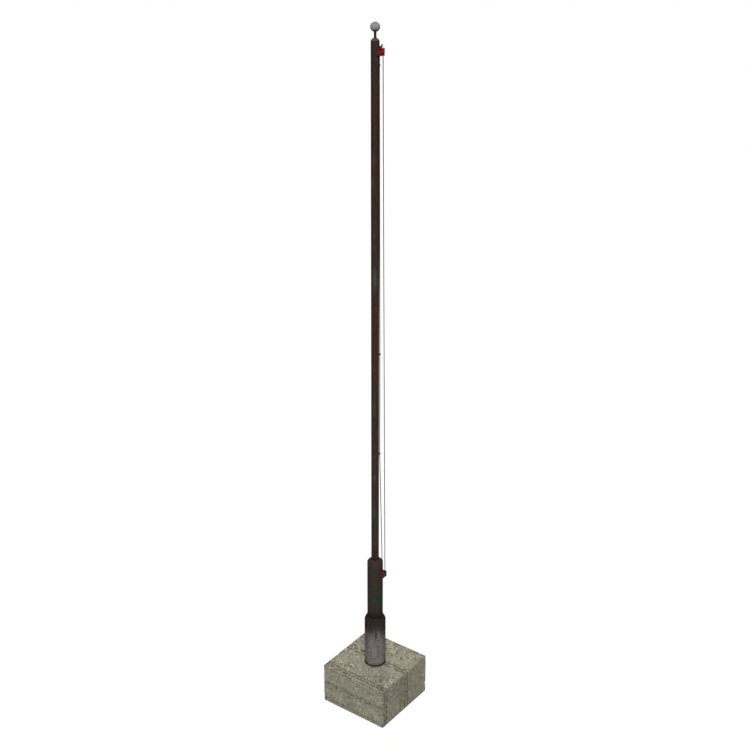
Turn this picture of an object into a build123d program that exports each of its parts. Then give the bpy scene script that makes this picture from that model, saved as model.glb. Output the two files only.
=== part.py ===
from build123d import *
import os
from math import cos, pi, radians, sin, tan

# A steel flagpole on its concrete block: a galvanised sleeve cast into the block, a middle tube
# and a slender pole, each slipped into the one below, a ball on a spindle at the head, and an
# endless halyard that runs over a pulley block at the head, through three guides and round a
# second pulley block on the middle tube.
# Millimetres. Origin: centre of the block's underside. +Z runs up the pole, and the halyard
# runs down its +X side. Seen from the halyard's side, left is -Y and right is +Y.

# Concrete block
BLOCK_SIDE = 900.0
BLOCK_HEIGHT = 523.0
BLOCK_ARRIS = 3.0
SOCKET_DEPTH = 400.0
CASTING_GAP = 0.2

# Sleeve and its foot plate
SLEEVE_DIAMETER = 254.0
SLEEVE_WALL = 8.0
SLEEVE_MOUTH = 692.0  # height of its mouth above the block
SLEEVE_SHOULDER = 67.0  # height of the swaged shoulder under the mouth
SLEEVE_SHOULDER_ROUND = 55.0
FOOT_PLATE = 10.0

# Middle tube and the ring that centres it in the sleeve
MIDDLE_DIAMETER = 186.0
MIDDLE_WALL = 6.0
MIDDLE_MOUTH = 1465.0
MIDDLE_SHOULDER = 26.0
MIDDLE_SHOULDER_ROUND = 32.0
CENTRING_RING = 12.0
CENTRING_RING_RISE = 150.0  # above the foot plate

# Pole and the seat that its foot stands on inside the middle tube
POLE_DIAMETER = 88.9
POLE_WALL = 4.0
POLE_TOP = 7437.0
POLE_INSERTION = 400.0
POLE_SEAT = 10.0
POLE_SPIGOT = 40.0
DRAIN_DIAMETER = 24.0
SLIP_GAP = 0.2  # radial, between a tube and what fits in or round it

# Cap, spindle and ball
CAP_SPIGOT = 30.0
CAP_RIM = 22.0
CAP_CONE = 23.5
CAP_ROUND = 20.0
SPINDLE_DIAMETER = 27.0
SPINDLE_IN_CAP = 30.0
SPINDLE_SHOWING = 57.0
SPINDLE_IN_BALL = 38.0
BALL_DIAMETER = 99.0
BALL_WALL = 3.0
BALL_BOSS_WALL = 6.0
SPINDLE_GAP = 0.1

# Halyard, and what it runs through
ROPE_DIAMETER = 9.0
ROPE_GAP = 0.3  # rope to the root of a sheave's groove
GROOVE_WALL_ANGLE = 20.0  # from the sheave's mid plane
GROOVE_LIP = 5.0  # rim above the rope's centre line
FERRULE_DIAMETER = 13.0
FERRULE_LENGTH = 34.0
FERRULE_GAP = 0.1

# Pulley blocks
CHEEK = 6.0
BLOCK_PLATE = 6.0
SHELL_HEIGHT = 78.0
AXLE_DIAMETER = 12.0
AXLE_GAP = 0.05
AXLE_HEAD_DIAMETER = 19.0
AXLE_HEAD = 5.0
AXLE_TAIL = 11.0  # past the right cheek, where its nut goes
HUB_WALL = 4.0
HUB_GAP = 0.5
DISH_DEPTH = 3.0
RIM_DEPTH = 2.5  # metal under the groove's root, at the dished side
WELD_GAP = 0.2

HEAD_SHEAVE_DROP = 85.0  # from the pole's top down to the axle
HEAD_PITCH_RADIUS = 21.0
HEAD_INNER_FALL = 10.55  # pole's surface to the rope's centre line
HEAD_SHELL_WIDTH = 45.0
HEAD_RIM_WIDTH = 20.0
HEAD_SHELL_ROUND = 7.0

FOOT_SHEAVE_DROP = 168.0  # from the middle tube's mouth down to the axle
FOOT_PITCH_RADIUS = 18.5
FOOT_INNER_FALL = 14.2
FOOT_SHELL_WIDTH = 54.0
FOOT_RIM_WIDTH = 24.0
FOOT_SHELL_ROUND = 10.0

# Bent bar over the head block
HOOK_BAR_DIAMETER = 16.0
HOOK_BEND = 15.0
HOOK_ELBOW = 35.0  # pole's surface to the bend's corner
HOOK_LEAN = 8.0
HOOK_RISE = 27.0
HOOK_TIP_ROUND = 3.0

# Guides: name, drop from the head block's axle, pole's surface to the centre of the eye
GUIDES = [
    ("halyard_guide_top", 133.0, 9.05),
    ("halyard_guide_middle", 3247.0, 20.55),
    ("halyard_guide_lower", 4470.0, 20.55),
]
GUIDE_BORE = 12.0
GUIDE_EYE_WALL = 3.2
GUIDE_EYE_HEIGHT = 17.0
GUIDE_EYE_ROUND = 1.4
GUIDE_STEM_DIAMETER = 9.0

# The halyard's route in the plane Y = 0, from inside the ferrule down round the foot sheave,
# up the outer fall, over the head sheave and down through the guides to the ferrule again.
# Each point is (x, z, radius of the bend there).
HALYARD_ROUTE = [
    (104.44, 1923.5, 0.0),
    (107.69, 1801.5, 18.45),
    (144.34, 1801.5, 18.45),
    (96.84, 7896.0, 20.95),
    (55.24, 7896.0, 20.95),
    (53.50, 7742.0, 600.0),
    (65.00, 4628.0, 600.0),
    (65.00, 3405.0, 600.0),
    (104.36, 1926.5, 0.0),
]

# Radii and heights that follow from the sizes above
SLEEVE_RADIUS = SLEEVE_DIAMETER / 2
MIDDLE_RADIUS = MIDDLE_DIAMETER / 2
POLE_RADIUS = POLE_DIAMETER / 2
SOCKET_FLOOR = BLOCK_HEIGHT - SOCKET_DEPTH
TUBE_FLOOR = SOCKET_FLOOR + FOOT_PLATE
SLEEVE_MOUTH_Z = BLOCK_HEIGHT + SLEEVE_MOUTH
MIDDLE_MOUTH_Z = BLOCK_HEIGHT + MIDDLE_MOUTH
POLE_FOOT_Z = MIDDLE_MOUTH_Z - POLE_INSERTION
POLE_TOP_Z = BLOCK_HEIGHT + POLE_TOP
HEAD_SHEAVE_Z = POLE_TOP_Z - HEAD_SHEAVE_DROP
FOOT_SHEAVE_Z = MIDDLE_MOUTH_Z - FOOT_SHEAVE_DROP
CAP_TOP_Z = POLE_TOP_Z + CAP_RIM + CAP_CONE
BALL_CENTRE_Z = CAP_TOP_Z + SPINDLE_SHOWING + (BALL_DIAMETER / 2 - BALL_WALL)


def turned(corners):
    """Solid of revolution about Z from (radius, height, corner round) points of its half outline."""
    points = [(radius, height) for radius, height, _ in corners]
    rounds = [corner_round for _, _, corner_round in corners]
    outline = make_face(FilletPolyline(*points, radius=rounds, close=True))
    return revolve(Plane.XZ * outline, Axis.Z)


def disc(radius, bottom, top, hole_radius=0.0):
    """Flat round plate, or a ring where it has a hole."""
    return turned(
        [(hole_radius, bottom, 0), (radius, bottom, 0), (radius, top, 0), (hole_radius, top, 0)]
    )


def concrete_block():
    """Cast block with a round socket for the sleeve."""
    block = Box(BLOCK_SIDE, BLOCK_SIDE, BLOCK_HEIGHT, align=(Align.CENTER, Align.CENTER, Align.MIN))
    block = chamfer(block.edges(), BLOCK_ARRIS)
    return block - disc(SLEEVE_RADIUS + CASTING_GAP, SOCKET_FLOOR, BLOCK_HEIGHT + BLOCK_ARRIS)


def necked_tube(radius, wall, bottom, mouth, shoulder, shoulder_round, passing_radius):
    """Tube whose top is swaged in, with an even wall, to fit round the next tube."""
    mouth_radius = passing_radius + SLIP_GAP
    reduction = radius - mouth_radius
    slope_length = (reduction**2 + shoulder**2) ** 0.5
    shoulder_foot = mouth - shoulder
    inner_foot = shoulder_foot - wall * (slope_length - shoulder) / reduction
    inner_mouth = mouth - wall * slope_length / reduction
    outside = turned(
        [
            (0, bottom, 0),
            (radius, bottom, 0),
            (radius, shoulder_foot, shoulder_round),
            (mouth_radius, mouth, 0),
            (0, mouth, 0),
        ]
    )
    inside = turned(
        [
            (0, bottom, 0),
            (radius - wall, bottom, 0),
            (radius - wall, inner_foot, shoulder_round - wall),
            (mouth_radius, inner_mouth, 0),
            (0, inner_mouth, 0),
        ]
    )
    return outside - inside - disc(mouth_radius, bottom, mouth)


def pole_seat():
    """Plate inside the middle tube with a spigot that the pole's foot stands over."""
    plate_radius = MIDDLE_RADIUS - MIDDLE_WALL - SLIP_GAP
    spigot_radius = POLE_RADIUS - POLE_WALL - SLIP_GAP
    drain_radius = DRAIN_DIAMETER / 2
    return turned(
        [
            (drain_radius, POLE_FOOT_Z - POLE_SEAT, 0),
            (plate_radius, POLE_FOOT_Z - POLE_SEAT, 0),
            (plate_radius, POLE_FOOT_Z, 0),
            (spigot_radius, POLE_FOOT_Z, 0),
            (spigot_radius, POLE_FOOT_Z + POLE_SPIGOT, 0),
            (drain_radius, POLE_FOOT_Z + POLE_SPIGOT, 0),
        ]
    )


def top_cap():
    """Turned cap: a spigot inside the pole, a short rim and a cone up to the spindle."""
    spigot_radius = POLE_RADIUS - POLE_WALL - SLIP_GAP
    bore_radius = SPINDLE_DIAMETER / 2 + SPINDLE_GAP
    bore_floor = CAP_TOP_Z - SPINDLE_IN_CAP
    return turned(
        [
            (0, POLE_TOP_Z - CAP_SPIGOT, 0),
            (spigot_radius, POLE_TOP_Z - CAP_SPIGOT, 0),
            (spigot_radius, POLE_TOP_Z, 0),
            (POLE_RADIUS, POLE_TOP_Z, 0),
            (POLE_RADIUS, POLE_TOP_Z + CAP_RIM, CAP_ROUND),
            (bore_radius, CAP_TOP_Z, 0),
            (bore_radius, bore_floor, 0),
            (0, bore_floor, 0),
        ]
    )


def finial_spindle():
    """Round bar from the cap's bore into the ball."""
    bottom = CAP_TOP_Z - SPINDLE_IN_CAP
    top = CAP_TOP_Z + SPINDLE_SHOWING + SPINDLE_IN_BALL
    return disc(SPINDLE_DIAMETER / 2, bottom, top)


def finial_ball():
    """Hollow ball with a boss inside that takes the spindle's end."""
    bore_radius = SPINDLE_DIAMETER / 2 + SPINDLE_GAP
    bore_top = CAP_TOP_Z + SPINDLE_SHOWING + SPINDLE_IN_BALL - BALL_CENTRE_Z
    boss_top = bore_top + BALL_BOSS_WALL
    skin = Sphere(BALL_DIAMETER / 2)
    hollow = Sphere(BALL_DIAMETER / 2 - BALL_WALL)
    boss = disc(bore_radius + BALL_BOSS_WALL, -BALL_DIAMETER / 2, boss_top)
    ball = (skin - hollow) + (boss & skin) - disc(bore_radius, -BALL_DIAMETER, bore_top)
    return Pos(0, 0, BALL_CENTRE_Z) * ball


def sheave_centre_x(carrier_radius, inner_fall, pitch_radius):
    """How far out a sheave's axle stands, so that the inner fall clears its tube."""
    return carrier_radius + inner_fall + pitch_radius


def sheave(pitch_radius, rim_width, hub_width):
    """Rope sheave about Y: round-bottomed groove with flared walls, dished sides, a long hub."""
    wall_angle = radians(GROOVE_WALL_ANGLE)
    root_radius = ROPE_DIAMETER / 2 + ROPE_GAP
    wall_foot = pitch_radius - root_radius * sin(wall_angle)
    wall_foot_y = root_radius * cos(wall_angle)
    rim = pitch_radius + GROOVE_LIP
    rim_y = wall_foot_y + (rim - wall_foot) * tan(wall_angle)
    dish_radius = pitch_radius - root_radius - RIM_DEPTH
    bore_radius = AXLE_DIAMETER / 2 + AXLE_GAP
    hub_radius = bore_radius + HUB_WALL
    half = [
        (wall_foot, wall_foot_y),
        (rim, rim_y),
        (rim, rim_width / 2),
        (dish_radius, rim_width / 2),
        (dish_radius, rim_width / 2 - DISH_DEPTH),
        (hub_radius, rim_width / 2 - DISH_DEPTH),
        (hub_radius, hub_width / 2),
        (bore_radius, hub_width / 2),
    ]
    other_half = [(radius, -y) for radius, y in reversed(half)]
    sides = Polyline(*half, *other_half)
    root = ThreePointArc(other_half[-1], (pitch_radius - root_radius, 0), half[0])
    return revolve(make_face(sides + root), Axis.Y)


def across(radius, low_y, high_y):
    """Round bar along Y at the origin."""
    bar = Cylinder(radius, high_y - low_y, align=(Align.CENTER, Align.CENTER, Align.MIN))
    return Pos(0, low_y, 0) * Rot(-90, 0, 0) * bar


def axle(shell_width):
    """Pin along Y with a round head outside the left cheek and a tail past the right one."""
    shank = across(AXLE_DIAMETER / 2, -shell_width / 2, shell_width / 2 + AXLE_TAIL)
    head = across(AXLE_HEAD_DIAMETER / 2, -shell_width / 2 - AXLE_HEAD, -shell_width / 2)
    head = fillet(head.edges().sort_by(Axis.Y)[:1], 1.5)
    return shank + head


def pulley_block(name, carrier_radius, height, inner_fall, pitch, shell_width, rim_width, closed, corner):
    """Nodes of one pulley block: two cheeks, the plate that closes one end, axle and sheave.
    closed is 1 where the plate is at the top and -1 where it is at the bottom."""
    axle_x = sheave_centre_x(carrier_radius, inner_fall, pitch)
    reach = axle_x + pitch + GROOVE_LIP
    slot = shell_width - 2 * CHEEK
    half_height = SHELL_HEIGHT / 2
    tube = Cylinder(carrier_radius + WELD_GAP, 2 * SHELL_HEIGHT)
    nodes = {}
    outline = FilletPolyline(
        (0, -half_height),
        (reach, -half_height),
        (reach, half_height),
        (0, half_height),
        radius=[0, corner, corner, 0],
        close=True,
    )
    side = extrude(Plane.XZ * make_face(outline), CHEEK)
    hole = Pos(axle_x, 0, 0) * across(AXLE_DIAMETER / 2 + AXLE_GAP, -shell_width, shell_width)
    nodes[name + "_cheek_left"] = Pos(0, -slot / 2, 0) * side - tube - hole
    nodes[name + "_cheek_right"] = Pos(0, slot / 2 + CHEEK, 0) * side - tube - hole
    plate = Pos(0, 0, closed * (half_height - BLOCK_PLATE / 2)) * Box(
        reach - corner, slot, BLOCK_PLATE, align=(Align.MIN, Align.CENTER, Align.CENTER)
    )
    nodes[name + ("_top_plate" if closed > 0 else "_bottom_plate")] = plate - tube
    nodes[name + "_axle"] = Pos(axle_x, 0, 0) * axle(shell_width)
    nodes[name + "_sheave"] = Pos(axle_x, 0, 0) * sheave(pitch, rim_width, slot - 2 * HUB_GAP)
    return {key: Pos(0, 0, height) * solid for key, solid in nodes.items()}


def head_hook():
    """Bent round bar welded to the pole, lying over the head block and turned up at its end."""
    bar_radius = HOOK_BAR_DIAMETER / 2
    bar_z = HEAD_SHEAVE_Z + SHELL_HEIGHT / 2 + bar_radius + WELD_GAP
    elbow_x = POLE_RADIUS + HOOK_ELBOW
    path = FilletPolyline(
        (0, 0, bar_z),
        (elbow_x, 0, bar_z),
        (elbow_x + HOOK_LEAN, 0, bar_z + HOOK_RISE),
        radius=[HOOK_BEND],
    )
    section = Plane(origin=(0, 0, bar_z), z_dir=(1, 0, 0)) * Circle(bar_radius)
    bar = sweep(section, path=path)
    bar = fillet(bar.edges().sort_by(Axis.Z)[-1:], HOOK_TIP_ROUND)
    return bar - Pos(0, 0, bar_z) * Cylinder(POLE_RADIUS + WELD_GAP, 4 * HOOK_BAR_DIAMETER)


def halyard_guide(drop, standoff):
    """Eye with a rounded bore, upright round the rope, on a stem from the pole."""
    eye_x = POLE_RADIUS + standoff
    eye_radius = GUIDE_BORE / 2 + GUIDE_EYE_WALL
    half_height = GUIDE_EYE_HEIGHT / 2
    eye = turned(
        [
            (GUIDE_BORE / 2, -half_height, GUIDE_EYE_ROUND),
            (eye_radius, -half_height, GUIDE_EYE_ROUND),
            (eye_radius, half_height, GUIDE_EYE_ROUND),
            (GUIDE_BORE / 2, half_height, GUIDE_EYE_ROUND),
        ]
    )
    eye = Pos(eye_x, 0, 0) * eye
    stem = Rot(0, 90, 0) * Cylinder(
        GUIDE_STEM_DIAMETER / 2, eye_x, align=(Align.CENTER, Align.CENTER, Align.MIN)
    )
    bore = Pos(eye_x, 0, 0) * Cylinder(GUIDE_BORE / 2, GUIDE_EYE_HEIGHT)
    pole = Cylinder(POLE_RADIUS + WELD_GAP, 2 * GUIDE_EYE_HEIGHT)
    return Pos(0, 0, HEAD_SHEAVE_Z - drop) * (eye + (stem - bore) - pole)


def halyard():
    """The rope: straight falls joined by arcs, as one tube."""
    points = [(x, 0, z) for x, z, _ in HALYARD_ROUTE]
    bends = [bend for _, _, bend in HALYARD_ROUTE[1:-1]]
    path = FilletPolyline(*points, radius=bends)
    start = Plane(origin=path @ 0, z_dir=path % 0)
    rope = sweep(start * Circle(ROPE_DIAMETER / 2), path=path)
    section_by_length = pi * (ROPE_DIAMETER / 2) ** 2 * path.length
    print("halyard bends", bends, "length", round(path.length, 1))
    print("halyard volume", round(rope.volume), "section by length", round(section_by_length))
    return rope


def halyard_ferrule():
    """Sleeve pressed over the two ends of the rope, in line with the inner fall."""
    low_x, low_z, _ = HALYARD_ROUTE[0]
    high_x, high_z, _ = HALYARD_ROUTE[-1]
    middle = ((low_x + high_x) / 2, 0, (low_z + high_z) / 2)
    along = Plane(origin=middle, z_dir=(high_x - low_x, 0, high_z - low_z))
    sleeve = Cylinder(FERRULE_DIAMETER / 2, FERRULE_LENGTH)
    sleeve = fillet(sleeve.edges().filter_by(GeomType.CIRCLE), 1.2)
    return along * (sleeve - Cylinder(ROPE_DIAMETER / 2 + FERRULE_GAP, FERRULE_LENGTH))


def flagpole():
    """Every node of the flagpole, by name."""
    nodes = {
        "concrete_block": concrete_block(),
        "sleeve_foot_plate": disc(SLEEVE_RADIUS, SOCKET_FLOOR, TUBE_FLOOR),
        "base_sleeve": necked_tube(
            SLEEVE_RADIUS,
            SLEEVE_WALL,
            TUBE_FLOOR,
            SLEEVE_MOUTH_Z,
            SLEEVE_SHOULDER,
            SLEEVE_SHOULDER_ROUND,
            MIDDLE_RADIUS,
        ),
        "middle_centring_ring": disc(
            SLEEVE_RADIUS - SLEEVE_WALL - SLIP_GAP,
            TUBE_FLOOR + CENTRING_RING_RISE,
            TUBE_FLOOR + CENTRING_RING_RISE + CENTRING_RING,
            MIDDLE_RADIUS + SLIP_GAP,
        ),
        "middle_tube": necked_tube(
            MIDDLE_RADIUS,
            MIDDLE_WALL,
            TUBE_FLOOR,
            MIDDLE_MOUTH_Z,
            MIDDLE_SHOULDER,
            MIDDLE_SHOULDER_ROUND,
            POLE_RADIUS,
        ),
        "pole_seat": pole_seat(),
        "upper_pole": disc(POLE_RADIUS, POLE_FOOT_Z, POLE_TOP_Z, POLE_RADIUS - POLE_WALL),
        "top_cap": top_cap(),
        "finial_spindle": finial_spindle(),
        "finial_ball": finial_ball(),
        "head_hook": head_hook(),
        "halyard": halyard(),
        "halyard_ferrule": halyard_ferrule(),
    }
    nodes |= pulley_block(
        "head",
        POLE_RADIUS,
        HEAD_SHEAVE_Z,
        HEAD_INNER_FALL,
        HEAD_PITCH_RADIUS,
        HEAD_SHELL_WIDTH,
        HEAD_RIM_WIDTH,
        1,
        HEAD_SHELL_ROUND,
    )
    nodes |= pulley_block(
        "foot",
        MIDDLE_RADIUS,
        FOOT_SHEAVE_Z,
        FOOT_INNER_FALL,
        FOOT_PITCH_RADIUS,
        FOOT_SHELL_WIDTH,
        FOOT_RIM_WIDTH,
        -1,
        FOOT_SHELL_ROUND,
    )
    for name, drop, standoff in GUIDES:
        nodes[name] = halyard_guide(drop, standoff)
    return nodes


os.makedirs("parts", exist_ok=True)
for node, solid in flagpole().items():
    export_step(solid, f"parts/{node}.step")
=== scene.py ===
from math import cos, hypot, pi, radians, sin, sqrt

import bmesh
import bpy
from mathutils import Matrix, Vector, noise


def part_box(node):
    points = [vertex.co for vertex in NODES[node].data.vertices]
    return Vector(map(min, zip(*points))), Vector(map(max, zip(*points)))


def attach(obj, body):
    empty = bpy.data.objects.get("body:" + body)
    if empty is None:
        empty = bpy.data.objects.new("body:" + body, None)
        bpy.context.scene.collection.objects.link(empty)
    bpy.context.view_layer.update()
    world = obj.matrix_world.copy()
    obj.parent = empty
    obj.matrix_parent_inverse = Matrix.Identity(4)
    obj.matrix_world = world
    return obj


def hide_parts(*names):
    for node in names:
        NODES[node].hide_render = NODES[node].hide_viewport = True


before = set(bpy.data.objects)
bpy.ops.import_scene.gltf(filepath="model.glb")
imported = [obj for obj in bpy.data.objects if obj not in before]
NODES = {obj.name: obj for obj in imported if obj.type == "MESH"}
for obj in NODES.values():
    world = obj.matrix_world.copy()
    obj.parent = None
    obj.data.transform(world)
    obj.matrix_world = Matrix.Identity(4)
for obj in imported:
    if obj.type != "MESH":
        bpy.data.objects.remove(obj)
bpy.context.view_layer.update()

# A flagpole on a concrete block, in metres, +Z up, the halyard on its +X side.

# Sizes that the frame gives
BLOCK_LOW, BLOCK_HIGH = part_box("concrete_block")
SLEEVE_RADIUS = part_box("base_sleeve")[1].x
SLEEVE_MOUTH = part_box("base_sleeve")[1].z
MIDDLE_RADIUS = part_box("middle_tube")[1].x
MIDDLE_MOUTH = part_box("middle_tube")[1].z
POLE_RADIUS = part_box("upper_pole")[1].x

# ---------------------------------------------------------------- camera, light and ground

CAMERA_AZIMUTH = radians(36.8)  # round the pole, from straight in front
CAMERA_PITCH = radians(24.0)  # down from level
CAMERA_DISTANCE = 12.616  # from the pole's axis, level
CAMERA_HEIGHT = 9.979
CAMERA_ASIDE = -0.0014  # to the camera's right
LENS = 60.0  # mm
SENSOR = 36.0  # mm
CLIP_END = 200


def add_camera():
    """Camera above the block and level with the head, looking down at the pole."""
    back = Vector((sin(CAMERA_AZIMUTH), -cos(CAMERA_AZIMUTH), 0))
    right = Vector((cos(CAMERA_AZIMUTH), sin(CAMERA_AZIMUTH), 0))
    lens = bpy.data.cameras.new("camera")
    lens.lens = LENS
    lens.sensor_width = SENSOR
    lens.clip_end = CLIP_END
    camera = bpy.data.objects.new("camera", lens)
    camera.location = back * CAMERA_DISTANCE + right * CAMERA_ASIDE + Vector((0, 0, CAMERA_HEIGHT))
    camera.rotation_euler = (pi / 2 - CAMERA_PITCH, 0, CAMERA_AZIMUTH)
    bpy.context.scene.collection.objects.link(camera)
    bpy.context.scene.camera = camera


# Suns: azimuth from the camera's, elevation, level and softness, with angles in degrees. At level 1
# a matte surface that squarely faces a sun shows its own colour.
KEY_SUN = (0, 43, 1.0, 15)
BACK_SUN = (180, 20, 0.45, 30)


def add_sun(name, azimuth, elevation, level, softness):
    """One sun, as the settings above say."""
    around = CAMERA_AZIMUTH + radians(azimuth)
    up = radians(elevation)
    towards = Vector((sin(around) * cos(up), -cos(around) * cos(up), sin(up)))
    lamp = bpy.data.lights.new(name, "SUN")
    lamp.energy = pi * level
    lamp.angle = radians(softness)
    sun = bpy.data.objects.new(name, lamp)
    sun.rotation_euler = towards.to_track_quat("Z", "Y").to_euler()
    bpy.context.scene.collection.objects.link(sun)


SKY_LEVEL = 0.12  # as a light, where white is 1
FLOOR_SIZE = 60.0
FLOOR_COLOUR = (0.25, 0.25, 0.247, 1)
FLOOR_LIFT = 0.8  # what the floor adds to its own light where a ray sees it directly


def seen_directly(tree):
    """1 for camera, glossy and transmission rays, which see the background, and 0 for light."""
    path = tree.nodes.new("ShaderNodeLightPath")
    total = path.outputs["Is Camera Ray"]
    for kind in ("Is Glossy Ray", "Is Transmission Ray"):
        add = tree.nodes.new("ShaderNodeMath")
        add.operation = "ADD"
        add.use_clamp = True
        tree.links.new(total, add.inputs[0])
        tree.links.new(path.outputs[kind], add.inputs[1])
        total = add.outputs[0]
    return total


def add_sky():
    """Even white sky: full white where it is seen, and softer as a light."""
    world = bpy.data.worlds.new("sky")
    bpy.context.scene.world = world
    world.use_nodes = True
    tree = world.node_tree
    background = tree.nodes["Background"]
    background.inputs["Color"].default_value = (1, 1, 1, 1)
    blend = tree.nodes.new("ShaderNodeMapRange")
    blend.inputs["To Min"].default_value = SKY_LEVEL
    blend.inputs["To Max"].default_value = 1.0
    tree.links.new(seen_directly(tree), blend.inputs["Value"])
    tree.links.new(blend.outputs["Result"], background.inputs["Strength"])


def add_floor():
    """Plain pale floor that keeps the object's soft shadow and runs into the white sky."""
    mesh = bpy.data.meshes.new("floor")
    half = FLOOR_SIZE / 2
    corners = [(-half, -half, 0), (half, -half, 0), (half, half, 0), (-half, half, 0)]
    mesh.from_pydata(corners, [], [(0, 1, 2, 3)])
    ground = bpy.data.objects.new("floor", mesh)
    bpy.context.scene.collection.objects.link(ground)
    material = bpy.data.materials.new("floor")
    material.use_nodes = True
    tree = material.node_tree
    tree.nodes.clear()
    matte = tree.nodes.new("ShaderNodeBsdfDiffuse")
    matte.inputs["Color"].default_value = FLOOR_COLOUR
    lift = tree.nodes.new("ShaderNodeEmission")
    scale = tree.nodes.new("ShaderNodeMath")
    scale.operation = "MULTIPLY"
    scale.inputs[1].default_value = FLOOR_LIFT
    both = tree.nodes.new("ShaderNodeAddShader")
    output = tree.nodes.new("ShaderNodeOutputMaterial")
    tree.links.new(seen_directly(tree), scale.inputs[0])
    tree.links.new(scale.outputs[0], lift.inputs["Strength"])
    tree.links.new(matte.outputs[0], both.inputs[0])
    tree.links.new(lift.outputs[0], both.inputs[1])
    tree.links.new(both.outputs[0], output.inputs["Surface"])
    mesh.materials.append(material)


# ---------------------------------------------------------------- materials

FINE_SCALE = 55  # of the noise that turns shapes ragged
GRIT_REACH = 0.03  # its reach where it moves the edges of small stones, in metres
GRIT_SMOOTHNESS = 0.3
# A stain on a tube, in half widths of it: the reach of the noise that moves its outline, and where
# it starts to fade and ends
STAIN_WANDER = 3
STAIN_CORE = 0.45
STAIN_END = 1.1


class Surface:
    """A procedural material. Its short calls add nodes and return the last node's output."""

    def __init__(self, name, roughness, specular):
        self.material = bpy.data.materials.new(name)
        self.material.use_nodes = True
        self.tree = self.material.node_tree
        self.tree.nodes.clear()
        self.shader = self.node("BsdfPrincipled")
        self.shader.inputs["Roughness"].default_value = roughness
        self.shader.inputs["Specular IOR Level"].default_value = specular
        output = self.node("OutputMaterial")
        self.tree.links.new(self.shader.outputs[0], output.inputs["Surface"])
        self.place = self.node("TexCoord").outputs["Object"]
        self.normal = None

    def node(self, kind):
        """A new shader node of one kind."""
        return self.tree.nodes.new("ShaderNode" + kind)

    def put(self, socket, value):
        """Sets a socket, or links it where the value is another node's output."""
        if isinstance(value, bpy.types.NodeSocket):
            self.tree.links.new(value, socket)
        else:
            socket.default_value = value

    def where(self, stretch=(1, 1, 1), shift=(0, 0, 0)):
        """The place on the object, scaled and shifted."""
        mapping = self.node("Mapping")
        self.put(mapping.inputs["Vector"], self.place)
        mapping.inputs["Scale"].default_value = stretch
        mapping.inputs["Location"].default_value = shift
        return mapping.outputs[0]

    def axis(self, name):
        """One coordinate of the place on the object, in metres."""
        split = self.node("SeparateXYZ")
        self.put(split.inputs[0], self.place)
        return split.outputs[name]

    def facing(self, name):
        """How far the surface faces along one axis, from -1 to 1."""
        split = self.node("SeparateXYZ")
        self.put(split.inputs[0], self.node("NewGeometry").outputs["True Normal"])
        return split.outputs[name]

    def noise(self, scale, detail=4.0, roughness=0.55, stretch=(1, 1, 1), shift=(0, 0, 0), warp=0.0):
        """Cloudy noise, about 0.3 to 0.7."""
        node = self.node("TexNoise")
        self.put(node.inputs["Vector"], self.where(stretch, shift))
        node.inputs["Scale"].default_value = scale
        node.inputs["Detail"].default_value = detail
        node.inputs["Roughness"].default_value = roughness
        node.inputs["Distortion"].default_value = warp
        return node.outputs["Fac"]

    def ragged(self, place, reach):
        """A place that fine noise moves about, so that round shapes drawn there turn ragged."""
        node = self.node("TexNoise")
        self.put(node.inputs["Vector"], self.place)
        node.inputs["Scale"].default_value = FINE_SCALE
        node.inputs["Detail"].default_value = 3
        centred = self.vectors("SUBTRACT", node.outputs["Color"], (0.5, 0.5, 0.5)).outputs["Vector"]
        moved = self.vectors("MULTIPLY_ADD", centred, (reach, reach, reach), place)
        return moved.outputs["Vector"]

    def cells(self, scale, stretch=(1, 1, 1), shift=(0, 0, 0), feature="F1", reach=0.0):
        """Distance to the nearest of many scattered points, in cells."""
        node = self.node("TexVoronoi")
        node.feature = feature
        place = self.where(stretch, shift)
        self.put(node.inputs["Vector"], self.ragged(place, reach) if reach else place)
        node.inputs["Scale"].default_value = scale
        return node.outputs["Distance"]

    def grit(self, scale, stretch=(1, 1, 1)):
        """A random value from 0 to 1 for each of many rough stones packed together."""
        node = self.node("TexVoronoi")
        node.feature = "SMOOTH_F1"
        node.inputs["Smoothness"].default_value = GRIT_SMOOTHNESS
        self.put(node.inputs["Vector"], self.ragged(self.where(stretch), GRIT_REACH))
        node.inputs["Scale"].default_value = scale
        split = self.node("SeparateColor")
        self.put(split.inputs["Color"], node.outputs["Color"])
        return split.outputs["Red"]

    def vectors(self, kind, *values):
        """The node for one step of arithmetic on vectors."""
        node = self.node("VectorMath")
        node.operation = kind
        for socket, value in zip(node.inputs, values):
            self.put(socket, value)
        return node

    def math(self, kind, a, b=0.0):
        """One step of arithmetic on two values."""
        node = self.node("Math")
        node.operation = kind
        self.put(node.inputs[0], a)
        self.put(node.inputs[1], b)
        return node.outputs[0]

    def both(self, *amounts):
        """The product of several amounts."""
        total = amounts[0]
        for amount in amounts[1:]:
            total = self.math("MULTIPLY", total, amount)
        return total

    def either(self, *amounts):
        """The largest of several amounts."""
        total = amounts[0]
        for amount in amounts[1:]:
            total = self.math("MAXIMUM", total, amount)
        return total

    def step(self, value, low, high, out_low=0.0, out_high=1.0):
        """Goes smoothly from out_low to out_high as the value goes from low to high."""
        node = self.node("MapRange")
        node.interpolation_type = "SMOOTHSTEP"
        self.put(node.inputs["Value"], value)
        node.inputs["From Min"].default_value = low
        node.inputs["From Max"].default_value = high
        node.inputs["To Min"].default_value = out_low
        node.inputs["To Max"].default_value = out_high
        return node.outputs["Result"]

    def band(self, value, centre, width, soft):
        """1 where the value is within half the width of the centre, then falling to 0 over soft."""
        away = self.math("ABSOLUTE", self.math("SUBTRACT", value, centre))
        return self.step(away, width / 2, width / 2 + soft, 1.0, 0.0)

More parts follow.
